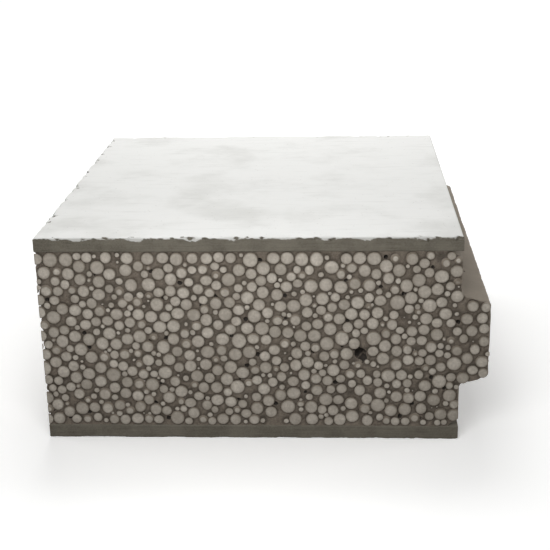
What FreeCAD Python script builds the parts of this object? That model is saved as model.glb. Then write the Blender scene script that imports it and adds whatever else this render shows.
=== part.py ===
"""Short block of insulated sandwich wall panel, lying on one of its facing boards.

Two thin fibre-cement boards are cast onto a thick core of lightweight concrete,
whose aggregate is expanded polystyrene beads. The core and both boards end
together in plain saw cuts on three edges. The fourth edge is the panel's
moulded jointing edge: a tapered tongue, which the groove of the next panel
takes, and beside each board a small triangular recess that keys the jointing
mortar.

Frame, in millimetres: +Z runs through the thickness, +X points out of the
tongue and +Y runs along the length of the panel. The origin is in the middle
of the underside, measured over everything including the tongue.
"""

import FreeCAD, Part
import math
import os

# Panel
panel_thickness = 75.0  # over both boards
board_thickness = 5.0
cover_width = 146.0  # from the sawn edge to the jointing edge, without the tongue
block_length = 155.0  # between the two cross cuts

# Tongue, centred in the thickness
tongue_depth = 10.0
tongue_root_height = 33.0
tongue_nose_height = 27.0
tongue_nose_radius = 1.5
tongue_root_radius = 2.0

# Rest of the jointing edge
recess_depth = 3.5  # into the core, under the edge of each board
recess_height = 3.0
board_arris_radius = 0.8  # eased outer edge of each board

# Places that follow from these sizes
sawn_x = -(cover_width + tongue_depth) / 2
joint_x = sawn_x + cover_width
nose_x = joint_x + tongue_depth
start_y = -block_length / 2
middle_z = panel_thickness / 2
core_bottom_z = board_thickness
core_top_z = panel_thickness - board_thickness


def corner_arc(before, corner, after, radius):
    """The arc of that radius which rounds a corner, with its two tangent points."""
    to_before = (before - corner).normalize()
    to_after = (after - corner).normalize()
    half_angle = to_before.getAngle(to_after) / 2
    setback = radius / math.tan(half_angle)
    start = corner + to_before * setback
    end = corner + to_after * setback
    inward = (to_before + to_after).normalize()
    centre = corner + inward * (radius / math.sin(half_angle))
    middle = centre - inward * radius
    return start, Part.Arc(start, middle, end).toShape(), end


def outline(corners):
    """Closed wire across the panel from (x, z, radius) corners; radius 0 is sharp."""
    points = [FreeCAD.Vector(x, start_y, z) for x, z, _ in corners]
    stretches = []
    for i, (_, _, radius) in enumerate(corners):
        corner = points[i]
        if radius > 0:
            after = points[(i + 1) % len(points)]
            stretches.append(corner_arc(points[i - 1], corner, after, radius))
        else:
            stretches.append((corner, None, corner))
    edges = []
    for i, (start, arc, end) in enumerate(stretches):
        previous_end = stretches[i - 1][2]
        edges.append(Part.LineSegment(previous_end, start).toShape())
        if arc is not None:
            edges.append(arc)
    return Part.Wire(Part.__sortEdges__(edges))


def run_of(corners):
    """Solid with that cross-section over the whole length of the block."""
    section = Part.Face(outline(corners))
    return section.extrude(FreeCAD.Vector(0, block_length, 0))


def face_board(inner_z, outer_z):
    """Facing board; its outer edge is eased along the jointing edge only."""
    return run_of(
        [
            (sawn_x, inner_z, 0),
            (joint_x, inner_z, 0),
            (joint_x, outer_z, board_arris_radius),
            (sawn_x, outer_z, 0),
        ]
    )


def tongue_corners():
    """Lower half of the jointing profile and its mirror image, from bottom to top."""
    lower = [
        (joint_x - recess_depth, core_bottom_z, 0),
        (joint_x, core_bottom_z + recess_height, 0),
        (joint_x, middle_z - tongue_root_height / 2, tongue_root_radius),
        (nose_x, middle_z - tongue_nose_height / 2, tongue_nose_radius),
    ]
    upper = [(x, 2 * middle_z - z, radius) for x, z, radius in reversed(lower)]
    return lower + upper


def bead_concrete_core():
    """Core cast between the boards, with the tongue and both recesses moulded in."""
    sawn_edge = [(sawn_x, core_top_z, 0), (sawn_x, core_bottom_z, 0)]
    return run_of(tongue_corners() + sawn_edge)


def main():
    pieces = {
        "bottom_face_board": face_board(core_bottom_z, 0.0),
        "bead_concrete_core": bead_concrete_core(),
        "top_face_board": face_board(core_top_z, panel_thickness),
    }
    os.makedirs("parts", exist_ok=True)
    for name, shape in pieces.items():
        shape.exportStep(os.path.join("parts", name + ".step"))
        print(name, "volume", round(shape.Volume / 1000, 1), "cm3", "valid", shape.isValid())


main()
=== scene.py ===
import bpy
import math
import numpy as np
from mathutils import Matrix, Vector, kdtree, noise


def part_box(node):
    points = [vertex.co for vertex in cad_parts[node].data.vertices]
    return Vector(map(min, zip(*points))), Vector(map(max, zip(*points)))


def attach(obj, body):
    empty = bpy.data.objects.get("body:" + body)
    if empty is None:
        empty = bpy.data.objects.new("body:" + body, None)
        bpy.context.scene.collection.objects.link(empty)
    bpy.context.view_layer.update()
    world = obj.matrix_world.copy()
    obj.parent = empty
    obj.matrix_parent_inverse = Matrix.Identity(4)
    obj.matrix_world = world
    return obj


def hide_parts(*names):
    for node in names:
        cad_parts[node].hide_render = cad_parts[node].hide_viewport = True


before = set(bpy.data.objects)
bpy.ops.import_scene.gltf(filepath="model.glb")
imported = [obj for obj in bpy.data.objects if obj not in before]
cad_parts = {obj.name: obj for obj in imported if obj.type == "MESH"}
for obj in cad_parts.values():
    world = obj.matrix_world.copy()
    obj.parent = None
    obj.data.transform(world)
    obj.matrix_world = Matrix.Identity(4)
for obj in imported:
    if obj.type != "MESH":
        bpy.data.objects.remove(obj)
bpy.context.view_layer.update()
mm = 0.001
touching = 1e-7  # metres: a point nearer than this lies on the surface


# The block's own measures, read from the frame

def readBlock():
    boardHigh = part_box("bottom_face_board")[1]
    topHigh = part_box("top_face_board")[1]
    coreLow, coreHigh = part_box("bead_concrete_core")
    outline = {
        (round(v.co.z, 6), round(v.co.x, 6))
        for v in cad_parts["bead_concrete_core"].data.vertices
        if v.co.y < coreLow.y + mm and v.co.x > 0
    }
    joint = np.array(sorted(outline))  # the jointing edge from bottom to top, as (z, x)
    return {
        "sawnX": coreLow.x, "jointX": boardHigh.x, "noseX": coreHigh.x,
        "frontY": coreLow.y, "backY": coreHigh.y,
        "coreBottom": coreLow.z, "coreTop": coreHigh.z, "top": topHigh.z,
        "jointZs": joint[:, 0], "jointXs": joint[:, 1],
    }


block = readBlock()
print("block read:", len(block["jointZs"]), "corners along the jointing edge")

# the sides are numbered: 0 front, 1 back, 2 sawn side, 3 jointing edge
cutPlanes = ((1, block["frontY"]), (1, block["backY"]), (0, block["sawnX"]))  # axis and place of 0 to 2
waysIn = ((0.0, 1.0, 0.0), (0.0, -1.0, 0.0), (1.0, 0.0, 0.0), (-1.0, 0.0, 0.0))
jointSide = 3


def jointingX(z):
    return np.interp(z, block["jointZs"], block["jointXs"])


def coreCorners(margin):
    low = np.array([block["sawnX"], block["frontY"], block["coreBottom"]])
    high = np.array([block["jointX"], block["backY"], block["coreTop"]])
    return low + margin, high - margin


# Small helpers for meshes

def meshObject(name, vertices, faces, smooth=True):
    mesh = bpy.data.meshes.new(name)
    mesh.from_pydata([tuple(v) for v in vertices], [], faces)
    mesh.update()
    if smooth:
        mesh.polygons.foreach_set("use_smooth", [True] * len(mesh.polygons))
    made = bpy.data.objects.new(name, mesh)
    bpy.context.scene.collection.objects.link(made)
    return made


def triangleCount(made):
    return sum(len(p.vertices) - 2 for p in made.data.polygons)


def storeValues(mesh, name, values):
    attribute = mesh.attributes.new(name, "FLOAT", "POINT")
    attribute.data.foreach_set("value", np.asarray(values, dtype=np.float32))


def loopAround(x0, x1, y0, y1, across, atJoint, atSawn):
    # points of a loop: front, jointing edge, back, sawn side
    loop = [(x0 + (x1 - x0) * i / across, y0) for i in range(across)]
    loop += [(x1, y0 + (y1 - y0) * i / atJoint) for i in range(atJoint)]
    loop += [(x1 + (x0 - x1) * i / across, y1) for i in range(across)]
    return loop + [(x0, y1 + (y0 - y1) * i / atSawn) for i in range(atSawn)]


def ringQuads(perRing, rings):
    # corners of the faces between rings of points that follow on one another
    for a in range(perRing * (rings - 1)):
        b = a + 1 if (a + 1) % perRing else a + 1 - perRing
        yield a, b, b + perRing, a + perRing


def closedSkin(perRing, rings, flip):
    # faces over rings of points, closed at both ends
    total = perRing * rings
    faces = [list(range(perRing)), list(range(total - perRing, total))[::-1]]
    faces += [[a, d, c, b] for a, b, c, d in ringQuads(perRing, rings)]
    return [face[::-1] for face in faces] if flip else faces


def searchTree(points, numbers):
    tree = kdtree.KDTree(len(numbers))
    for i in numbers:
        tree.insert(points[i], i)
    tree.balance()
    return tree


def noiseAt(points, size, shift=0.0):
    # smooth noise from about -1 to 1, with lumps of the given size
    offset = Vector((shift, -shift, 0.5 * shift))
    return np.array([noise.noise(Vector(p) / size + offset) for p in points])


def smoothStep(values, start, end):
    t = np.clip((values - start) / (end - start), 0, 1)
    return t * t * (3 - 2 * t)


def patchesAt(points, patches, move=0.0):
    # 0 to 1 in soft patches: their size, a shift, and the noise where they start and where they are full
    size, shift, start, full = patches
    return smoothStep(noiseAt(points, size, shift + move), start, full)


# Small helpers for node trees

def addNode(tree, kind, inputs=None, **settings):
    made = tree.nodes.new(kind)
    for name, value in settings.items():
        setattr(made, name, value)
    for key, value in (inputs or {}).items():
        if isinstance(value, bpy.types.NodeSocket):
            tree.links.new(value, made.inputs[key])
        else:
            made.inputs[key].default_value = value
    return made


def mathNode(tree, operation, first, second=None, third=None, clamp=False):
    values = {i: v for i, v in enumerate((first, second, third)) if v is not None}
    return addNode(tree, "ShaderNodeMath", values, operation=operation, use_clamp=clamp).outputs[0]


def vectorNode(tree, operation, first, second):
    other = "Scale" if operation == "SCALE" else 1
    return addNode(tree, "ShaderNodeVectorMath", {0: first, other: second}, operation=operation).outputs


def newTree(name, kind, inputs, outputs):
    # inputs are titles, kinds and values, and outputs are titles and kinds
    tree = bpy.data.node_groups.new(name, kind)
    for title, socketKind, value in inputs:
        socket = tree.interface.new_socket(title, in_out="INPUT", socket_type="NodeSocket" + socketKind)
        if value is not None:
            socket.default_value = value
    for title, socketKind in outputs:
        tree.interface.new_socket(title, in_out="OUTPUT", socket_type="NodeSocket" + socketKind)
    return tree


def storedValue(tree, name, kind="FLOAT"):
    stored = addNode(tree, "GeometryNodeInputNamedAttribute", {"Name": name}, data_type=kind)
    return stored.outputs["Attribute"]


def storeInTree(tree, geometry, name, value, selection=True):
    return addNode(tree, "GeometryNodeStoreNamedAttribute", {
        "Geometry": geometry, "Selection": selection, "Name": name, "Value": value}).outputs["Geometry"]


def placeOnPoints(tree, points, instance, wayIn, size):
    facing = addNode(tree, "FunctionNodeAlignRotationToVector", {"Vector": wayIn}, axis="Z")
    placed = addNode(tree, "GeometryNodeInstanceOnPoints", {
        "Points": points, "Instance": instance, "Rotation": facing.outputs["Rotation"], "Scale": size})
    return addNode(tree, "GeometryNodeRealizeInstances", {
        "Geometry": placed.outputs["Instances"]}).outputs["Geometry"]


def moveInTree(tree, geometry, offset):
    return addNode(tree, "GeometryNodeSetPosition", {
        "Geometry": geometry, "Offset": offset}).outputs["Geometry"]


def lumpyInTree(tree, geometry, given, detail):
    # moves the points about by smooth noise
    bumps = addNode(tree, "ShaderNodeTexNoise", {
        "Scale": mathNode(tree, "DIVIDE", 1, given["Lump Size"]), "Detail": detail})
    centred = vectorNode(tree, "SUBTRACT", bumps.outputs["Color"], (0.5, 0.5, 0.5))[0]
    return moveInTree(tree, geometry, vectorNode(tree, "SCALE", centred, given["Lump Height"])[0])


def finishTree(tree, geometry, material):
    plain = addNode(tree, "GeometryNodeRealizeInstances", {"Geometry": geometry}).outputs["Geometry"]
    finished = addNode(tree, "GeometryNodeSetMaterial", {"Geometry": plain, "Material": material})
    addNode(tree, "NodeGroupOutput", {"Geometry": finished.outputs["Geometry"]})


def growTree(obj, tree, values):
    # runs a Geometry Nodes tree on obj and keeps the result as a plain mesh
    modifier = obj.modifiers.new(tree.name, "NODES")
    modifier.node_group = tree
    for item in tree.interface.items_tree:
        if item.in_out == "INPUT" and item.name in values:
            modifier[item.identifier] = values[item.name]
    obj.update_tag()
    evaluated = obj.evaluated_get(bpy.context.evaluated_depsgraph_get())
    mesh = bpy.data.meshes.new_from_object(evaluated)
    obj.modifiers.remove(modifier)
    old = obj.data
    obj.data = mesh
    bpy.data.meshes.remove(old)
    mesh.name = obj.name
    return obj


# Where the polystyrene beads lie

beadMix = {
    "usual": 4.4 * mm, "spread": 0.65 * mm, "smallest": 1.6 * mm, "largest": 5.8 * mm,
    "fineShare": 0.16, "fineLargest": 3.3 * mm, "tries": 60000,
    "fill": 0.84, "clearance": 0.05 * mm, "boardGap": 0.05 * mm,
    "depth": 8.0 * mm, "overcut": 3.4 * mm,
    "settleSteps": 160, "pushShare": 0.45, "neighbourEvery": 8, "neighbourSpare": 1.0 * mm, "seed": 11,
    "thickestFilm": 0.2 * mm, "deepestPress": 0.5 * mm,  # at the mould: cement over a bead, or its flat
}
largePit = {
    "fromJoint": 34.5 * mm, "height": 32.5 * mm, "radius": 2.4 * mm, "sunk": 0.6 * mm,
    # side pockets: how far they lie sideways and up from the pit, and their radius
    "lobes": [(-1.5 * mm, 2.0 * mm, 1.4 * mm), (0.8 * mm, -1.7 * mm, 1.7 * mm)],
}


def depthFromSides(points):
    # in from the sawn side, the jointing edge, the front and the back
    return np.stack([
        points[:, 0] - block["sawnX"], block["jointX"] - points[:, 0],
        points[:, 1] - block["frontY"], block["backY"] - points[:, 1],
    ])


def keepInLayer(points):
    # only the outer layer of the core is filled with beads, since the rest never shows
    depths = depthFromSides(points)
    tooDeep = np.maximum(depths.min(axis=0) - beadMix["depth"], 0)
    wayOut = np.array([(-1, 0), (1, 0), (0, -1), (0, 1)])[depths.argmin(axis=0)]
    points[:, :2] += wayOut * tooDeep[:, None]


def towardsMould(points):
    # distance to the moulded edge, positive inside, and the way in, both in the x-z plane
    best = np.full(len(points), np.inf)
    wayIn = np.zeros((len(points), 2))
    flat = points[:, [0, 2]]
    corners = np.stack([block["jointXs"], block["jointZs"]], axis=1)
    for start, end in zip(corners[:-1], corners[1:]):
        run = end - start
        t = np.clip(((flat - start) @ run) / (run @ run), 0, 1)
        away = flat - (start + t[:, None] * run)
        distance = np.linalg.norm(away, axis=1) + 1e-9
        nearer = distance < best
        best[nearer] = distance[nearer]
        wayIn[nearer] = away[nearer] / distance[nearer, None]
    outside = points[:, 0] > jointingX(points[:, 2])
    best[outside] *= -1
    wayIn[outside] *= -1
    return best, wayIn


def drawBeads(rng, low, high):
    tries = rng.uniform(low, high, (beadMix["tries"], 3))
    inLayer = depthFromSides(tries).min(axis=0) < beadMix["depth"]
    room = tries[inLayer & (tries[:, 0] < jointingX(tries[:, 2]))]
    space = np.prod(high - low) * len(room) / len(tries)
    radii = [largePit["radius"]]  # the first is the large pit, which the beads keep clear of
    filled = 0.0
    while filled < beadMix["fill"] * space:
        if rng.random() < beadMix["fineShare"]:
            diameter = rng.uniform(beadMix["smallest"], beadMix["fineLargest"])
        else:
            diameter = rng.normal(beadMix["usual"], beadMix["spread"])
        diameter = min(max(diameter, beadMix["smallest"]), beadMix["largest"])
        radii.append(diameter / 2)
        filled += math.pi * diameter ** 3 / 6
    return room[: len(radii)].copy(), np.array(radii)


def nearPairs(centres, radii):
    tree = searchTree(centres, range(len(centres)))
    reach = radii + beadMix["largest"] / 2 + beadMix["neighbourSpare"]
    return np.array([
        (i, j) for i, centre in enumerate(centres) for _, j, _ in tree.find_range(centre, reach[i]) if j > i
    ]).T


def settleBeads():
    # pushes overlapping beads apart until they lie side by side
    rng = np.random.default_rng(beadMix["seed"])
    over = beadMix["overcut"]
    low = np.array([block["sawnX"] - over, block["frontY"] - over, block["coreBottom"]])
    high = np.array([block["noseX"], block["backY"] + over, block["coreTop"]])
    pit = np.array([block["jointX"] - largePit["fromJoint"], block["frontY"] + largePit["sunk"],
                    largePit["height"]])
    centres, radii = drawBeads(rng, low, high)
    film = rng.uniform(-beadMix["thickestFilm"], beadMix["deepestPress"], len(radii))
    count = len(radii)
    for step in range(beadMix["settleSteps"]):
        if step % beadMix["neighbourEvery"] == 0:
            first, second = nearPairs(centres, radii)
            needed = radii[first] + radii[second] + beadMix["clearance"]
        apart = centres[second] - centres[first]
        distance = np.linalg.norm(apart, axis=1) + 1e-9
        push = apart * (np.maximum(needed - distance, 0) / distance * beadMix["pushShare"])[:, None]
        for axis in range(3):
            centres[:, axis] += np.bincount(second, push[:, axis], count)
            centres[:, axis] -= np.bincount(first, push[:, axis], count)
        keepInLayer(centres)
        wall, wayIn = towardsMould(centres)
        short = np.maximum(radii - film - wall, 0)
        centres[:, 0] += wayIn[:, 0] * short
        centres[:, 2] += wayIn[:, 1] * short
        margin = radii + beadMix["boardGap"]
        centres[:, 2] = np.clip(centres[:, 2], block["coreBottom"] + margin, block["coreTop"] - margin)
        centres[:, :2] = np.clip(centres[:, :2], low[:2], high[:2])
        centres[0] = pit

    # beads that are still squeezed end up a little smaller
    first, second = nearPairs(centres, radii)
    distance = np.linalg.norm(centres[second] - centres[first], axis=1)
    squeeze = (distance - beadMix["clearance"]) / (radii[first] + radii[second])
    shrink = np.ones(count)
    np.minimum.at(shrink, first, squeeze)
    np.minimum.at(shrink, second, squeeze)
    return centres, radii * shrink


fillers = {
    "tries": 9000, "room": 0.62 * mm, "gap": 0.08 * mm, "largest": 1.7 * mm, "band": 0.9 * mm,
    "fromEdges": 1.0 * mm, "neighbours": 5, "perSide": 90, "seed": 17,
}


def fillWideGaps(centres, radii):
    # small beads in the gaps near the cut faces, the widest gaps first
    rng = np.random.default_rng(fillers["seed"])
    tree = searchTree(centres, range(len(centres)))
    low, high = coreCorners(fillers["fromEdges"])
    added, sizes = [], []
    for axis, value in cutPlanes:
        places = rng.uniform(low, high, (fillers["tries"], 3))
        places[:, axis] = value + rng.uniform(-fillers["band"], fillers["band"], len(places))
        last = len(added) + fillers["perSide"]
        room = np.array([
            min(d - radii[j] for _, j, d in tree.find_n(place, fillers["neighbours"])) for place in places])
        for i in np.argsort(-room):
            if room[i] < fillers["room"] or len(added) == last:
                break
            radius = min(room[i] - fillers["gap"], fillers["largest"])
            if all(np.linalg.norm(places[i] - other) > radius + size for other, size in zip(added, sizes)):
                added.append(places[i])
                sizes.append(radius)
    return np.concatenate([centres, added]), np.concatenate([radii, sizes])


beadCentres, beadRadii = fillWideGaps(*settleBeads())
print("beads settled:", len(beadRadii))


# Beads that the saw or the mould brings to the surface

lostBeads = {"share": 0.004, "smallestRadius": 1.4 * mm, "pastPit": 0.2, "seed": 5}
beadLook = {
    "segments": 14, "rings": 8, "plump": 1.015, "oval": 0.06,
    "lump": 0.28 * mm, "lumpSize": 2.0 * mm, "lumpDetail": 1.0, "deepestSunk": 0.1 * mm,
    "cutNormal": 0.99, "cutReach": 0.985,  # a cut face is turned outwards, or lies this far out
    "rimHeight": 0.05 * mm, "crownHeight": 0.035 * mm, "filmedHeight": 0.01 * mm,
    "rimShare": 0.76, "crownShare": 0.6, "rimDust": 0.25, "darkest": 0.05, "sharpAngle": 38, "seed": 3,
}
cutter = {"inset": 0.1 * mm, "depth": 1.5 * mm, "endGap": 0.5 * mm}


def sortBySide():
    # the nearest side of each bead, whether it shows, whether two sides cut it, and whether it fell out
    wall, _ = towardsMould(beadCentres)
    gaps = [np.abs(beadCentres[:, axis] - value) for axis, value in cutPlanes]
    gaps = np.stack(gaps + [np.where(wall < 0, 0, wall)]) / beadRadii
    nearest = gaps.argmin(axis=0)
    sides = gaps < 1
    rng = np.random.default_rng(lostBeads["seed"])
    lost = rng.random(len(beadRadii)) < lostBeads["share"]
    lost &= (beadRadii > lostBeads["smallestRadius"]) & (nearest != jointSide)
    for sideways, up, radius in largePit["lobes"] + [(0, 0, beadRadii[0])]:
        away = np.linalg.norm(beadCentres - beadCentres[0] - np.array([sideways, 0, up]), axis=1)
        lost |= away < radius + lostBeads["pastPit"] * beadRadii
    return nearest, sides.any(axis=0), sides.sum(axis=0) > 1, lost


def prismPoints(inset, low, high):
    edge = [(x - inset, z) for z, x in zip(block["jointZs"], block["jointXs"])]
    edge[0] = (edge[0][0], low)
    edge[-1] = (edge[-1][0], high)
    ring = [(block["sawnX"] + inset, high), (block["sawnX"] + inset, low)] + edge
    ends = (block["frontY"] + inset, block["backY"] - inset)
    return [(x, y, z) for y in ends for x, z in ring]


def hollowCutter():
    # the outer skin of the core: what the beads are cut to
    gap = cutter["endGap"]
    outer = prismPoints(cutter["inset"], block["coreBottom"] - gap, block["coreTop"] + gap)
    inner = prismPoints(cutter["inset"] + cutter["depth"], block["coreBottom"], block["coreTop"])
    count = len(outer)
    faces = closedSkin(count // 2, 2, False)
    faces += [[i + count for i in face] for face in closedSkin(count // 2, 2, True)]
    return meshObject("hollowCutter", outer + inner, faces, smooth=False)


def cutBeadTree():
    tree = newTree("cutBeads", "GeometryNodeTree", [
        ("Geometry", "Geometry", None),
        ("Cutter", "Object", None),
        ("Segments", "Int", beadLook["segments"]),
        ("Rings", "Int", beadLook["rings"]),
        ("Plump", "Float", beadLook["plump"]),
        ("Way In", "Vector", None),
        ("Half Size", "Vector", (-block["sawnX"], block["backY"], block["top"])),
        ("Oval", "Float", beadLook["oval"]),
        ("Lump Height", "Float", beadLook["lump"]),
        ("Lump Size", "Float", beadLook["lumpSize"]),
        ("Rim Height", "Float", beadLook["rimHeight"]),
        ("Crown Height", "Float", beadLook["crownHeight"]),
        ("Seed", "Int", beadLook["seed"]),
        ("Material", "Material", None),
    ], [("Geometry", "Geometry")])
    given = addNode(tree, "NodeGroupInput").outputs
    oval = addNode(tree, "FunctionNodeRandomValue", {
        "Min": mathNode(tree, "SUBTRACT", 1, given["Oval"]),
        "Max": mathNode(tree, "ADD", 1, given["Oval"]),
        "Seed": given["Seed"],
    }, data_type="FLOAT_VECTOR")
    size = vectorNode(tree, "SCALE", oval.outputs["Value"], storedValue(tree, "beadRadius"))[0]
    ball = addNode(tree, "GeometryNodeMeshUVSphere", {
        "Segments": given["Segments"], "Rings": given["Rings"], "Radius": given["Plump"]})
    balls = placeOnPoints(tree, given["Geometry"], ball.outputs["Mesh"], given["Way In"], size)

    # neighbours press the beads a little out of round, and the saw cuts them
    uneven = lumpyInTree(tree, balls, given, beadLook["lumpDetail"])
    saw = addNode(tree, "GeometryNodeObjectInfo", {"Object": given["Cutter"]})
    cut = addNode(tree, "GeometryNodeMeshBoolean", operation="INTERSECT", solver="MANIFOLD")
    tree.links.new(uneven, cut.inputs["Mesh 2"])
    tree.links.new(saw.outputs["Geometry"], cut.inputs["Mesh 2"])

    # each bead keeps one tone, and stands a little lower than the cut
    island = addNode(tree, "GeometryNodeInputMeshIsland").outputs["Island Index"]

    def oneForEachBead(name):
        return addNode(tree, "GeometryNodeFieldMinAndMax", {
            "Value": storedValue(tree, name), "Group Index": island}).outputs["Max"]

    toned = storeInTree(tree, cut.outputs["Mesh"], "beadTone", oneForEachBead("beadTone"))
    sunk = vectorNode(tree, "SCALE", given["Way In"], oneForEachBead("beadSunk"))[0]
    seated = moveInTree(tree, toned, sunk)

    # each cut face swells into a low pillow, and a bead on an arris has two of them
    normal = addNode(tree, "GeometryNodeInputNormal").outputs["Normal"]
    inwardness = vectorNode(tree, "DOT_PRODUCT", normal, given["Way In"])["Value"]
    facesOut = addNode(tree, "FunctionNodeCompare", {
        "A": inwardness, "B": -beadLook["cutNormal"]}, operation="LESS_THAN")
    place = addNode(tree, "GeometryNodeInputPosition").outputs["Position"]
    reach = vectorNode(tree, "DIVIDE", place, given["Half Size"])[0]
    along = addNode(tree, "ShaderNodeSeparateXYZ", {
        "Vector": vectorNode(tree, "MULTIPLY", reach, normal)[0]}).outputs
    atSide = addNode(tree, "FunctionNodeCompare", {
        "A": mathNode(tree, "MAXIMUM", along["X"], along["Y"]), "B": beadLook["cutReach"]},
        operation="GREATER_THAN")
    isCut = addNode(tree, "FunctionNodeBooleanMath", {
        0: facesOut.outputs["Result"], 1: atSide.outputs["Result"]}, operation="OR")
    # the bead darkens towards the rim of each cut face: partly cement dust, partly painted shade
    mesh, chosen = storeInTree(tree, seated, "rimDust", 1.0), isCut.outputs["Boolean"]
    for height, share, rimDust in (
        ("Rim Height", beadLook["rimShare"], beadLook["rimDust"]),
        ("Crown Height", beadLook["crownShare"], 0.0),
    ):
        raised = addNode(tree, "GeometryNodeExtrudeMesh", {
            "Mesh": mesh, "Selection": chosen, "Offset Scale": given[height], "Individual": True}).outputs
        narrowed = addNode(tree, "GeometryNodeScaleElements", {
            "Geometry": raised["Mesh"], "Selection": raised["Top"], "Scale": share})
        mesh = storeInTree(tree, narrowed.outputs["Geometry"], "rimDust", rimDust, raised["Top"])
        chosen = raised["Top"]
    finishTree(tree, mesh, given["Material"])
    return tree


nearestSide, showing, onArris, lostOnes = sortBySide()
shellCutter = hollowCutter()
beadsTree = cutBeadTree()


def cutBeads(name, side, wayIn, material):
    chosen = (nearestSide == side) & showing & ~lostOnes
    points = meshObject(name, beadCentres[chosen], [])
    rng = np.random.default_rng(beadLook["seed"] + side)
    sunk = rng.uniform(0, beadLook["deepestSunk"], chosen.sum())
    values = {"Cutter": shellCutter, "Way In": wayIn, "Seed": beadLook["seed"] + side, "Material": material}
    if side == jointSide:
        sunk[:] = 0
        values["Rim Height"] = values["Crown Height"] = beadLook["filmedHeight"]
    storeValues(points.data, "beadRadius", beadRadii[chosen])
    storeValues(points.data, "beadTone", rng.uniform(beadLook["darkest"], 1, chosen.sum()))
    storeValues(points.data, "beadSunk", np.where(onArris[chosen], 0, sunk))
    growTree(points, beadsTree, values)
    points.data.set_sharp_from_angle(angle=math.radians(beadLook["sharpAngle"]))
    print(name, chosen.sum(), "beads,", triangleCount(points), "triangles")
    return points


# The cement between the beads

cementRelief = {
    "step": 0.79 * mm, "jointStep": 1.2 * mm,
    "recess": 0.17 * mm, "rough": 0.08 * mm, "roughSize": 1.3 * mm,
    "groove": 0.6 * mm, "grooveFrom": 0.1 * mm, "grooveTo": 0.9 * mm, "neighbours": 4,
    "torn": 0.25 * mm, "tornPatches": (5.0 * mm, 3.1, 0.1, 0.5),
    "skin": 0.05 * mm, "skinWear": 0.21 * mm, "wearPatches": (5.0 * mm, 9.0, -0.2, 0.45), "skinFrom": 0.75,
    "chip": 0.55 * mm, "leastChip": 0.35, "chipPatches": (2.4 * mm, 5.0, -0.1, 0.5),
}


def distanceToBeads(points):
    # how far each point is from the nearest bead's surface, negative inside a bead
    tree = searchTree(beadCentres, np.flatnonzero(showing))
    return np.array([
        min(d - beadRadii[j] for _, j, d in tree.find_n(p, cementRelief["neighbours"])) for p in points])


def jointLevels():
    # heights that are evenly spaced along the jointing edge, with each of its corners kept
    levels = []
    zs, xs = block["jointZs"], block["jointXs"]
    for i in range(len(zs) - 1):
        length = math.hypot(zs[i + 1] - zs[i], xs[i + 1] - xs[i])
        steps = max(1, round(length / cementRelief["step"]))
        levels += [zs[i] + (zs[i + 1] - zs[i]) * k / steps for k in range(steps)]
    return np.array(levels + [zs[-1]])


def coreRing(z):
    # one loop round the core at that height, with a mark: 1 on the moulded side, half at its ends
    x0, x1 = block["sawnX"], float(jointingX(z))
    y0, y1 = block["frontY"], block["backY"]
    across = round((block["jointX"] - x0) / cementRelief["step"])
    atSawn = round((y1 - y0) / cementRelief["step"])
    atJoint = round((y1 - y0) / cementRelief["jointStep"])
    marks = [0] * across + [0.5] + [1] * (atJoint - 1) + [0.5] + [0] * (across - 1 + atSawn)
    loop = loopAround(x0, x1, y0, y1, across, atJoint, atSawn)
    return [(x, y, z, mark) for (x, y), mark in zip(loop, marks)]


def coreCement():
    levels = jointLevels()
    rings = np.array([coreRing(z) for z in levels])
    perRing = rings.shape[1]
    flat = rings.reshape(-1, 4)
    points, moulded = flat[:, :3], flat[:, 3]
    faces = [list(range(perRing))[::-1], list(range(len(flat) - perRing, len(flat)))]
    faces += ringQuads(perRing, len(levels))
    made = meshObject("coreCement", points, faces)

    # flush where it is wide, sunk into narrow grooves between beads, torn in patches
    look = cementRelief
    gap = distanceToBeads(points)
    inward = look["recess"] + look["rough"] * noiseAt(points, look["roughSize"])
    inward += look["groove"] * (1 - smoothStep(gap, look["grooveFrom"], look["grooveTo"]))
    inward += look["torn"] * patchesAt(points, look["tornPatches"])
    skinIn = look["skin"] + look["skinWear"] * patchesAt(points, look["wearPatches"])
    onSkin = moulded > look["skinFrom"]
    inward = np.where(onSkin, skinIn, inward)

    # the vertical arrises crumble
    sawnDepth, _, frontDepth, backDepth = depthFromSides(points)
    jointDepth = jointingX(points[:, 2]) - points[:, 0]
    endDepth = np.minimum(frontDepth, backDepth)
    sideDepth = np.minimum(sawnDepth, jointDepth)
    crumble = look["chip"] * (look["leastChip"] + patchesAt(points, look["chipPatches"]))
    cut = np.maximum(crumble - endDepth - sideDepth, 0) / 2
    towards = np.where(sawnDepth < jointDepth, 1.0, -1.0)
    endWay = np.where(points[:, 1] < 0, 1.0, -1.0)
    moved = points.copy()
    moved[:, 0] += towards * (cut + np.where(sideDepth < touching, inward, 0))
    moved[:, 1] += endWay * (cut + np.where(endDepth < touching, inward, 0))
    made.data.vertices.foreach_set("co", moved.ravel())
    storeValues(made.data, "moulded", moulded)
    # painted shade in the narrow grooves next to beads, strongest against a bead
    storeValues(made.data, "groove", np.where(onSkin, 0, 1 - smoothStep(gap, 0, look["grooveTo"])))
    return made


# Sockets of lost beads, and air holes between beads

airHoles = {
    "perSide": 46, "smallest": 0.32 * mm, "largest": 0.95 * mm, "overlap": 0.34 * mm, "apart": 4 * mm,
    "fromEdges": 1.0 * mm, "tries": 5000, "stretch": 2.4, "pitStretch": 2.2,
    "mouldedCount": 40, "mouldedSmallest": 0.3 * mm, "mouldedLargest": 0.9 * mm, "mouldedStretch": 0.8,
    "lump": 0.9 * mm, "lumpSize": 1.8 * mm, "lumpDetail": 2.0, "subdivisions": 2,
    "sharpAngle": 50, "seed": 21,
}


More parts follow.
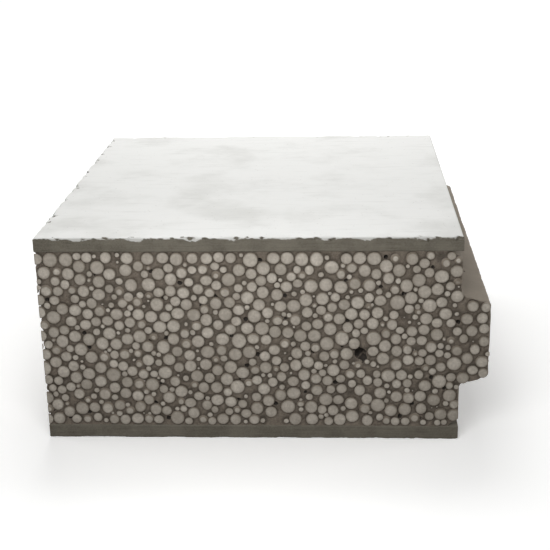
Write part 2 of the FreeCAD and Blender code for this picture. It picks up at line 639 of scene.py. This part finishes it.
def holePoints():
    # place, radius, way in and stretch of each hole: lost beads, air between beads, air at the mould
    rng = np.random.default_rng(airHoles["seed"])
    holes = [
        (beadCentres[i], beadRadii[i], waysIn[nearestSide[i]], airHoles["pitStretch"] if i == 0 else 1.0)
        for i in np.flatnonzero(lostOnes & showing)
    ]

    def standsApart(place):
        return all(np.linalg.norm(place - hole[0]) > airHoles["apart"] for hole in holes)

    low, high = coreCorners(airHoles["fromEdges"])
    for side, (axis, value) in enumerate(cutPlanes):
        places = rng.uniform(low, high, (airHoles["tries"], 3))
        places[:, axis] = value
        kept = 0
        for place, room in zip(places, distanceToBeads(places)):
            if room >= airHoles["smallest"] and kept < airHoles["perSide"] and standsApart(place):
                kept += 1
                radius = min(room + airHoles["overlap"], airHoles["largest"])
                holes.append((place, radius, waysIn[side], airHoles["stretch"]))
    for z in rng.uniform(low[2], high[2], airHoles["mouldedCount"]):
        place = np.array([jointingX(z), rng.uniform(low[1], high[1]), z])
        if standsApart(place):
            radius = rng.uniform(airHoles["mouldedSmallest"], airHoles["mouldedLargest"])
            holes.append((place, radius, waysIn[jointSide], airHoles["mouldedStretch"]))
    return holes


def lobePoints():
    # the large pit's side pockets
    return [
        (beadCentres[0] + np.array([sideways, 0, up]), radius, waysIn[0], airHoles["pitStretch"])
        for sideways, up, radius in largePit["lobes"]
    ]


def holesTree():
    tree = newTree("holes", "GeometryNodeTree", [
        ("Geometry", "Geometry", None),
        ("Holes", "Object", None),
        ("Lump Height", "Float", airHoles["lump"]),
        ("Lump Size", "Float", airHoles["lumpSize"]),
        ("Subdivisions", "Int", airHoles["subdivisions"]),
        ("Material", "Material", None),
    ], [("Geometry", "Geometry")])
    given = addNode(tree, "NodeGroupInput").outputs
    places = addNode(tree, "GeometryNodeObjectInfo", {"Object": given["Holes"]}).outputs["Geometry"]
    radius = storedValue(tree, "holeRadius")
    deep = mathNode(tree, "MULTIPLY", radius, storedValue(tree, "holeStretch"))
    shape = addNode(tree, "ShaderNodeCombineXYZ", {"X": radius, "Y": radius, "Z": deep})
    ball = addNode(tree, "GeometryNodeMeshIcoSphere", {
        "Radius": 1.0, "Subdivisions": given["Subdivisions"]}).outputs["Mesh"]
    # the inside of every hole is marked for painted shade in the cement's colour
    balls = placeOnPoints(tree, places, storeInTree(tree, ball, "hole", 1.0),
                          storedValue(tree, "holeWay", "FLOAT_VECTOR"), shape.outputs["Vector"])
    cut = addNode(tree, "GeometryNodeMeshBoolean", {
        "Mesh 1": given["Geometry"]}, operation="DIFFERENCE", solver="MANIFOLD")
    tree.links.new(lumpyInTree(tree, balls, given, airHoles["lumpDetail"]), cut.inputs["Mesh 2"])
    finishTree(tree, cut.outputs["Mesh"], given["Material"])
    return tree


def pitCement(cement, material):
    # the pit's pockets are cut by themselves, because they overlap the pit
    tree = holesTree()
    for holes in (holePoints(), lobePoints()):
        places = meshObject("holePlaces", [hole[0] for hole in holes], [])
        storeValues(places.data, "holeRadius", [hole[1] for hole in holes])
        storeValues(places.data, "holeStretch", [hole[3] for hole in holes])
        ways = places.data.attributes.new("holeWay", "FLOAT_VECTOR", "POINT")
        ways.data.foreach_set("vector", np.array([hole[2] for hole in holes]).ravel())
        growTree(cement, tree, {"Holes": places, "Material": material})
        bpy.data.objects.remove(places)
        print("cement with", len(holes), "more holes")
    cement.data.set_sharp_from_angle(angle=math.radians(airHoles["sharpAngle"]))
    print("cement", triangleCount(cement), "triangles")
    return cement


# Facing boards

boardLook = {
    "step": 0.6 * mm, "edgeStep": 0.32 * mm,
    "faceRings": [7.0, 4.5, 3.0, 2.0, 1.35, 0.9, 0.55, 0.25],  # how far in from the edge, in mm
    "layer": 0.1 * mm, "layerSize": 0.55 * mm, "layerFlatness": 0.04, "layerShift": 900, "jointLayer": 0.2,
    "chip": 0.4 * mm, "usualChip": 0.9, "chipVaries": 0.8, "fineSize": 0.8 * mm, "fineShift": 7.0,
    "bigChip": 1.2 * mm, "bigPatches": (1.9 * mm, 2.0, 0.2, 0.6),
    "wave": 0.9 * mm, "wavePatches": (6.5 * mm, 11.0, -0.2, 0.5),
    "innerChip": 0.5, "eased": 0.8 * mm, "sharpAngle": 35,
    "topWear": 1.0, "bottomWear": 0.4,  # how worn the outer arrises are
    "fringe": 0.6, "fadesOver": 0.1 * mm, "paleEdge": 0.6, "leastArrisShadeAndDirt": 0.3,  # where the pale face ends
}


def boardRing(inset, z):
    x0, x1 = block["sawnX"] + inset, block["jointX"] - inset
    y0, y1 = block["frontY"] + inset, block["backY"] - inset
    across = round((block["jointX"] - block["sawnX"]) / boardLook["step"])
    along = round((block["backY"] - block["frontY"]) / boardLook["step"])
    return [(x, y, z) for x, y in loopAround(x0, x1, y0, y1, across, along, along)]


def faceBoard(name, innerZ, outerZ, wear, material):
    look = boardLook
    outward = 1.0 if outerZ > innerZ else -1.0
    thickness = abs(outerZ - innerZ)
    insets = [r * mm for r in look["faceRings"]]
    steps = round(thickness / look["edgeStep"])
    rings = [(inset, 0.0) for inset in insets] + [(0.0, thickness * k / steps) for k in range(steps + 1)]
    rings += [(inset, thickness) for inset in insets[::-1]]
    points = np.array([p for inset, depth in rings for p in boardRing(inset, outerZ - outward * depth)])
    perRing = len(points) // len(rings)

    # the saw leaves fine layers on the edges and breaks small chips from the arrises
    gaps = depthFromSides(points)
    depth = np.abs(outerZ - points[:, 2])
    moved = points.copy()
    layered = points * np.array([look["layerFlatness"], look["layerFlatness"], 1.0])
    layerNoise = noiseAt(layered, look["layerSize"], outerZ * look["layerShift"])
    layers = look["layer"] * (0.5 + 0.5 * layerNoise)
    fine = noiseAt(points, look["fineSize"], look["fineShift"])
    nicks = patchesAt(points, look["bigPatches"], outerZ)
    wave = patchesAt(points, look["wavePatches"], outerZ)
    chips = look["chip"] * (look["usualChip"] + look["chipVaries"] * fine)
    chips = wear * (chips + look["bigChip"] * nicks + look["wave"] * wave)
    for edge, gap in enumerate(gaps):
        axis, way = edge // 2, 1.0 - 2.0 * (edge % 2)
        onEdge = gap < touching
        if edge == 1:
            # the jointing edge is not sawn, and its arris is gently rounded
            moved[:, axis] += way * np.where(onEdge, look["jointLayer"] * layers, 0)
            radius = look["eased"]
            u, v = np.minimum(gap, radius), np.minimum(depth, radius)
            inCorner = (gap < radius) & (depth < radius)
            reach = np.hypot(radius - u, radius - v)
            pull = np.where(inCorner & (reach > radius), 1 - radius / np.maximum(reach, 1e-9), 0)
            moved[:, axis] += way * pull * (radius - u)
            moved[:, 2] -= outward * pull * (radius - v)
            continue
        moved[:, axis] += way * np.where(onEdge, layers, 0)
        cut = np.maximum(chips - gap - depth, 0) / 2
        moved[:, axis] += way * cut
        moved[:, 2] -= outward * cut
        innerCut = np.maximum(look["innerChip"] * look["chip"] - gap - (thickness - depth), 0) / 2
        moved[:, axis] += way * innerCut
        moved[:, 2] += outward * innerCut
    made = meshObject(name, moved, closedSkin(perRing, len(rings), outward < 0))
    made.data.set_sharp_from_angle(angle=math.radians(look["sharpAngle"]))
    made.data.materials.append(material)

    # the pale face ends at the broken arris, with a whitened fringe between the big chips
    nearest = gaps[[0, 2, 3]].min(axis=0)
    broken = smoothStep(chips - nearest - depth, 0, look["fadesOver"])
    onFace = [(1.0 if inset > 0 else look["paleEdge"]) if d == 0 else 0.0 for inset, d in rings]
    # the broken arris takes the darker edge colour, fully in the big chips: partly dirt, partly painted
    # shade
    arrisShadeAndDirt = broken * (look["leastArrisShadeAndDirt"] + (1 - look["leastArrisShadeAndDirt"]) * nicks)
    fringe = look["fringe"] * broken * (1 - nicks)
    storeValues(made.data, "paleFace", np.maximum(np.repeat(onFace, perRing) * (1 - arrisShadeAndDirt), fringe))
    print(name, triangleCount(made), "triangles")
    return made


# Helpers for the finishes

def noiseTexture(tree, place, scale, detailAndRoughness):
    detail, roughness = detailAndRoughness
    return addNode(tree, "ShaderNodeTexNoise", {
        "Vector": place, "Scale": scale, "Detail": detail, "Roughness": roughness}).outputs["Fac"]


def mapRange(tree, value, taken, given=(0.0, 1.0), smooth=False):
    return addNode(tree, "ShaderNodeMapRange", {
        "Value": value, "From Min": taken[0], "From Max": taken[1], "To Min": given[0], "To Max": given[1],
    }, interpolation_type="SMOOTHSTEP" if smooth else "LINEAR").outputs["Result"]


def mixColors(tree, factor, first, second, blend="MIX"):
    inputs = {"Factor": factor, 6: first, 7: second}  # 6 and 7 are the colour sockets
    return addNode(tree, "ShaderNodeMix", inputs, data_type="RGBA", blend_type=blend).outputs[2]


def objectPlace(tree):
    return addNode(tree, "ShaderNodeTexCoord").outputs["Object"]


def surfaceValue(tree, name):
    return addNode(tree, "ShaderNodeAttribute", attribute_name=name).outputs["Fac"]


def useGroup(tree, group, inputs):
    return addNode(tree, "ShaderNodeGroup", inputs, node_tree=group).outputs


def newMaterial(name):
    material = bpy.data.materials.new(name)
    material.use_nodes = True
    tree = material.node_tree
    return material, tree, tree.nodes["Principled BSDF"]


def finishShader(tree, shader, look, color, height, strength):
    tree.links.new(color, shader.inputs["Base Color"])
    shader.inputs["Roughness"].default_value = look["roughness"]
    bump = addNode(tree, "ShaderNodeBump", {
        "Height": height, "Strength": strength, "Distance": look["bumpDepth"]})
    tree.links.new(bump.outputs["Normal"], shader.inputs["Normal"])


def colour(red, green, blue):
    # a colour as it looks on screen, from 0 to 255
    def linear(value):
        value /= 255
        return value / 12.92 if value <= 0.04045 else ((value + 0.055) / 1.055) ** 2.4
    return (linear(red), linear(green), linear(blue), 1.0)


# Shader node groups that the finishes share

grainMix = {
    "fineScale": 0.8, "fineNoise": (4.0, 0.65), "lumpTone": 0.45, "fineTone": 0.8,
    "middle": 0.62, "lumpHeight": 0.6,
}
dustMix = {"noise": (5.0, 0.6), "range": (0.36, 0.66)}


def grainGroup():
    # mineral grain: sand-sized lumps with fine dust between them
    tree = newTree("mineralGrain", "ShaderNodeTree", [
        ("Grain Size", "Float", 0.4 * mm), ("Contrast", "Float", 0.5),
    ], [("Grain", "Float"), ("Height", "Float")])
    given = addNode(tree, "NodeGroupInput").outputs
    place = objectPlace(tree)
    scale = mathNode(tree, "DIVIDE", 1, given["Grain Size"])
    lumps = addNode(tree, "ShaderNodeTexVoronoi", {"Vector": place, "Scale": scale}).outputs
    fine = noiseTexture(tree, place, mathNode(tree, "MULTIPLY", scale, grainMix["fineScale"]),
                        grainMix["fineNoise"])
    tone = addNode(tree, "ShaderNodeSeparateColor", {"Color": lumps["Color"]}).outputs[0]
    mixed = mathNode(tree, "MULTIPLY_ADD", tone, grainMix["lumpTone"],
                     mathNode(tree, "MULTIPLY", fine, grainMix["fineTone"]))
    centred = mathNode(tree, "SUBTRACT", mixed, grainMix["middle"])
    shade = mathNode(tree, "MULTIPLY_ADD", centred, given["Contrast"], 0.5, clamp=True)
    low = mathNode(tree, "MULTIPLY", lumps["Distance"], grainMix["lumpHeight"])
    addNode(tree, "NodeGroupOutput", {"Grain": shade, "Height": mathNode(tree, "SUBTRACT", fine, low)})
    return tree


def dustGroup():
    # cement dust rubbed over a surface in soft patches
    tree = newTree("cementDust", "ShaderNodeTree", [
        ("Color", "Color", (0.5, 0.5, 0.5, 1)), ("Dust Color", "Color", (0.3, 0.28, 0.25, 1)),
        ("Amount", "Float", 0.3), ("Patch Size", "Float", 6 * mm),
    ], [("Color", "Color")])
    given = addNode(tree, "NodeGroupInput").outputs
    patches = noiseTexture(tree, objectPlace(tree), mathNode(tree, "DIVIDE", 1, given["Patch Size"]),
                           dustMix["noise"])
    spread = mapRange(tree, patches, dustMix["range"], smooth=True)
    mask = mathNode(tree, "MULTIPLY", spread, given["Amount"], clamp=True)
    addNode(tree, "NodeGroupOutput", {"Color": mixColors(tree, mask, given["Color"], given["Dust Color"])})
    return tree


grain = grainGroup()
dust = dustGroup()


# Finishes

foamLook = {
    "light": colour(224, 215, 201), "dark": colour(186, 177, 163), "dust": colour(126, 115, 101),
    "dustAmount": 0.3, "filmedAmount": 1.0, "dustPatch": 3.2 * mm, "rim": 0.85, "rimPower": 1.5,
    "mottle": 0.35, "mottleSize": 0.9 * mm, "mottleNoise": (3.0, 0.6), "mottleRange": (0.3, 0.7),
    "cell": 0.16 * mm, "cellWall": 0.12, "wallShine": 0.25,
    "roughness": 0.8, "bump": 0.5, "bumpDepth": 0.05 * mm,
}


def beadFoam(name, dustAmount):
    material, tree, shader = newMaterial(name)
    look = foamLook
    base = mixColors(tree, surfaceValue(tree, "beadTone"), look["dark"], look["light"])
    place = objectPlace(tree)
    cells = addNode(tree, "ShaderNodeTexVoronoi", {
        "Vector": place, "Scale": 1 / look["cell"]}, feature="DISTANCE_TO_EDGE").outputs["Distance"]
    walls = mapRange(tree, cells, (0.0, look["cellWall"]), (1.0, 0.0))
    shine = mathNode(tree, "MULTIPLY", walls, look["wallShine"])
    shaded = mixColors(tree, shine, base, (1, 1, 1, 1), "SCREEN")
    mottle = noiseTexture(tree, place, 1 / look["mottleSize"], look["mottleNoise"])
    toned = mapRange(tree, mottle, look["mottleRange"], (look["mottle"], 0.0))
    shaded = mixColors(tree, toned, shaded, look["dust"])
    # darker towards the rim: partly cement dust, partly painted shade
    rim = mathNode(tree, "POWER", surfaceValue(tree, "rimDust"), look["rimPower"])
    rimmed = mixColors(tree, mathNode(tree, "MULTIPLY", rim, look["rim"]), shaded, look["dust"])
    dusted = useGroup(tree, dust, {
        "Color": rimmed, "Dust Color": look["dust"], "Amount": dustAmount, "Patch Size": look["dustPatch"]})
    finishShader(tree, shader, look, dusted["Color"], walls, look["bump"])
    return material


cementLook = {
    "light": colour(134, 123, 110), "dark": colour(93, 84, 74), "skin": colour(140, 131, 118),
    # deep is the near-black of the painted shade inside holes and in the grooves next to beads
    "dust": colour(150, 140, 126), "deep": (0.012, 0.01, 0.008, 1),
    "grain": 0.35 * mm, "contrast": 1.4, "skinShare": 0.7, "dustAmount": 0.3, "dustPatch": 7 * mm,
    "holeShade": 0.85, "grooveShade": 0.5,
    "roughness": 0.92, "bump": 0.8, "smootherSkin": 0.6, "bumpDepth": 0.12 * mm,
}


def beadCement():
    material, tree, shader = newMaterial("beadCement")
    look = cementLook
    grains = useGroup(tree, grain, {"Grain Size": look["grain"], "Contrast": look["contrast"]})
    base = mixColors(tree, grains["Grain"], look["dark"], look["light"])
    moulded = surfaceValue(tree, "moulded")
    skinned = mixColors(tree, mathNode(tree, "MULTIPLY", moulded, look["skinShare"]), base, look["skin"])
    dusted = useGroup(tree, dust, {
        "Color": skinned, "Dust Color": look["dust"], "Amount": look["dustAmount"],
        "Patch Size": look["dustPatch"]})
    # painted shade: holes and the narrow grooves next to beads go towards the near-black deep colour
    paintedShade = mathNode(tree, "MAXIMUM",
                    mathNode(tree, "MULTIPLY", surfaceValue(tree, "hole"), look["holeShade"]),
                    mathNode(tree, "MULTIPLY", surfaceValue(tree, "groove"), look["grooveShade"]))
    shaded = mixColors(tree, paintedShade, dusted["Color"], look["deep"])
    strength = mathNode(tree, "MULTIPLY_ADD", moulded, -look["smootherSkin"], look["bump"])
    finishShader(tree, shader, look, shaded, grains["Height"], strength)
    return material


boardFinish = {
    # the edge and layer colours are darker than the face: partly dirt, partly painted shade
    "face": colour(237, 237, 234), "smudge": colour(205, 205, 200), "edge": colour(112, 107, 95),
    "layer": colour(84, 79, 68), "speck": colour(150, 146, 138), "dust": colour(140, 134, 121),
    "cloudSize": 38 * mm, "cloudNoise": (6.0, 0.6), "cloudRange": (0.45, 0.72), "cloudShare": 0.6,
    "rubSize": 2.2 * mm, "rubStretch": 0.12, "rubNoise": (4.0, 0.7), "rubRange": (0.55, 0.8),
    "rubShare": 0.5,
    "speckSize": 2.6 * mm, "speckRange": (0.05, 0.09), "speckShare": 0.6,
    "layerSize": 0.45 * mm, "layerFlatness": 0.05, "layerNoise": (3.0, 0.5), "layerShare": 0.6,
    "grain": 0.3 * mm, "contrast": 1.2, "grainShare": 0.4, "edgeRange": (0.3, 0.7),
    "dustAmount": 0.35, "dustPatch": 9 * mm, "faceRange": (0.35, 0.75),
    "roughness": 0.78, "layerHeight": 0.8, "bump": 0.6, "smootherFace": 0.45, "bumpDepth": 0.06 * mm,
}


def fibreCement():
    material, tree, shader = newMaterial("fibreCement")
    look = boardFinish
    place = objectPlace(tree)

    # the pale face, with faint smudges, rub marks and a few grey specks
    clouds = noiseTexture(tree, place, 1 / look["cloudSize"], look["cloudNoise"])
    smudges = mapRange(tree, clouds, look["cloudRange"], smooth=True)
    face = mixColors(tree, mathNode(tree, "MULTIPLY", smudges, look["cloudShare"]),
                     look["face"], look["smudge"])
    stretched = addNode(tree, "ShaderNodeMapping", {
        "Vector": place, "Scale": (look["rubStretch"], 1.0, 1.0)}).outputs["Vector"]
    streaks = noiseTexture(tree, stretched, 1 / look["rubSize"], look["rubNoise"])
    rubbed = mapRange(tree, streaks, look["rubRange"], (0.0, look["rubShare"]))
    face = mixColors(tree, rubbed, face, look["smudge"])
    dots = addNode(tree, "ShaderNodeTexVoronoi", {
        "Vector": place, "Scale": 1 / look["speckSize"]}).outputs["Distance"]
    specks = mapRange(tree, dots, look["speckRange"], (look["speckShare"], 0.0))
    face = mixColors(tree, specks, face, look["speck"])

    # the cut edge, in thin layers, darker than the face: partly dirt, partly painted shade
    flattened = addNode(tree, "ShaderNodeMapping", {
        "Vector": place, "Scale": (look["layerFlatness"], look["layerFlatness"], 1.0)}).outputs["Vector"]
    bands = noiseTexture(tree, flattened, 1 / look["layerSize"], look["layerNoise"])
    grains = useGroup(tree, grain, {"Grain Size": look["grain"], "Contrast": look["contrast"]})
    layered = mathNode(tree, "MULTIPLY_ADD", bands, look["layerShare"],
                       mathNode(tree, "MULTIPLY", grains["Grain"], look["grainShare"]))
    edge = mixColors(tree, mapRange(tree, layered, look["edgeRange"]), look["layer"], look["edge"])
    dusted = useGroup(tree, dust, {
        "Color": edge, "Dust Color": look["dust"], "Amount": look["dustAmount"],
        "Patch Size": look["dustPatch"]})

    onFace = mapRange(tree, surfaceValue(tree, "paleFace"), look["faceRange"])
    result = mixColors(tree, onFace, dusted["Color"], face)
    height = mathNode(tree, "ADD", grains["Height"],
                      mathNode(tree, "MULTIPLY", bands, look["layerHeight"]))
    strength = mathNode(tree, "MULTIPLY_ADD", onFace, -look["smootherFace"], look["bump"])
    finishShader(tree, shader, look, result, height, strength)
    return material


# Putting the block together

boardMaterial = fibreCement()
cementMaterial = beadCement()
sawnFoam = beadFoam("sawnFoam", foamLook["dustAmount"])
filmedFoam = beadFoam("filmedFoam", foamLook["filmedAmount"])

topBoard = faceBoard("topBoard", block["coreTop"], block["top"], boardLook["topWear"], boardMaterial)
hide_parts("top_face_board")
bottomBoard = faceBoard("bottomBoard", block["coreBottom"], 0.0, boardLook["bottomWear"], boardMaterial)
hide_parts("bottom_face_board")
cement = pitCement(coreCement(), cementMaterial)
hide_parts("bead_concrete_core")
pieces = [topBoard, bottomBoard, cement]
beadPieces = (("frontBeads", sawnFoam), ("backBeads", sawnFoam), ("sawnSideBeads", sawnFoam),
              ("jointBeads", filmedFoam))
for sideNumber, (pieceName, foam) in enumerate(beadPieces):
    beads = cutBeads(pieceName, sideNumber, waysIn[sideNumber], foam)
    pieces.append(beads)
bpy.data.objects.remove(shellCutter)
for piece in pieces:
    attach(piece, "root")
print("block finished:", len(pieces), "pieces")


# Floor, light and camera

studio = {
    "floor": colour(244, 244, 243), "floorUnderLight": colour(110, 109, 107), "floorRoughness": 0.9,
    "floorHalf": 4.0, "glow": (0.32, 0.85), "glowRange": (0.2, 0.9), "skyStrength": 0.13,
    "camera": (0.026, -0.454, 0.194), "aim": (0.0, 0.0, 0.0345), "lens": 77.0, "roll": -1.2,
}
lamps = {  # place, target, size and power
    "keyLamp": ((-0.01, -0.22, 0.148), (0, -0.07, 0.05), 0.12, 0.205),
    "overheadLamp": ((-0.02, 0.212, 0.412), (0, 0.06, 0.07), 0.3, 1.02),
    "leftFill": ((-0.9, 0.1, 0.2), (-0.08, 0, 0.04), 0.5, 3.0),
    "rightFill": ((0.9, 0.1, 0.2), (0.08, 0, 0.04), 0.5, 3.0),
    "rearFill": ((0, 0.95, 0.2), (0, 0.08, 0.04), 0.5, 3.0),
}


def seenDirectly(tree):
    # 1 where the camera looks straight at it, or through a mirror or glass
    light = addNode(tree, "ShaderNodeLightPath").outputs
    mirrored = mathNode(tree, "MAXIMUM", light["Is Glossy Ray"], light["Is Transmission Ray"])
    return mathNode(tree, "MAXIMUM", light["Is Camera Ray"], mirrored)


def studioFloor():
    half = studio["floorHalf"]
    corners = [(-half, -half, 0), (half, -half, 0), (half, half, 0), (-half, half, 0)]
    floor = meshObject("studioFloor", corners, [[0, 1, 2, 3]])
    material, tree, shader = newMaterial("paleFloor")
    seen = seenDirectly(tree)
    color = mixColors(tree, seen, studio["floorUnderLight"], studio["floor"])
    tree.links.new(color, shader.inputs["Base Color"])
    shader.inputs["Roughness"].default_value = studio["floorRoughness"]
    shader.inputs["Emission Color"].default_value = (1, 1, 1, 1)
    away = addNode(tree, "ShaderNodeVectorMath", {0: objectPlace(tree)}, operation="LENGTH")
    glow = mapRange(tree, away.outputs["Value"], studio["glowRange"], studio["glow"], smooth=True)
    tree.links.new(mathNode(tree, "MULTIPLY", seen, glow), shader.inputs["Emission Strength"])
    floor.data.materials.append(material)


def studioSky():
    world = bpy.data.worlds.new("studioSky")
    bpy.context.scene.world = world
    world.use_nodes = True
    tree = world.node_tree
    strength = mathNode(tree, "MULTIPLY_ADD", seenDirectly(tree), 1 - studio["skyStrength"],
                        studio["skyStrength"])
    background = tree.nodes["Background"]
    background.inputs["Color"].default_value = (1, 1, 1, 1)
    tree.links.new(strength, background.inputs["Strength"])


def areaLamp(name, place, target, size, power):
    lamp = bpy.data.lights.new(name, "AREA")
    lamp.shape = "DISK"
    lamp.size = size
    lamp.energy = power
    made = bpy.data.objects.new(name, lamp)
    made.location = place
    made.rotation_euler = (Vector(target) - Vector(place)).to_track_quat("-Z", "Y").to_euler()
    made.visible_camera = False
    bpy.context.scene.collection.objects.link(made)


def studioCamera():
    camera = bpy.data.cameras.new("studioCamera")
    camera.lens = studio["lens"]
    camera.clip_start = 0.01
    made = bpy.data.objects.new("studioCamera", camera)
    made.location = studio["camera"]
    aim = Vector(studio["aim"]) - Vector(studio["camera"])
    made.rotation_euler = aim.to_track_quat("-Z", "Y").to_euler()
    made.rotation_euler.rotate_axis("Z", math.radians(studio["roll"]))
    bpy.context.scene.collection.objects.link(made)
    bpy.context.scene.camera = made


studioFloor()
studioSky()
for lampName, lampValues in lamps.items():
    areaLamp(lampName, *lampValues)
studioCamera()
bpy.context.scene.view_settings.view_transform = "Standard"
print("studio finished:", len(lamps), "lamps")
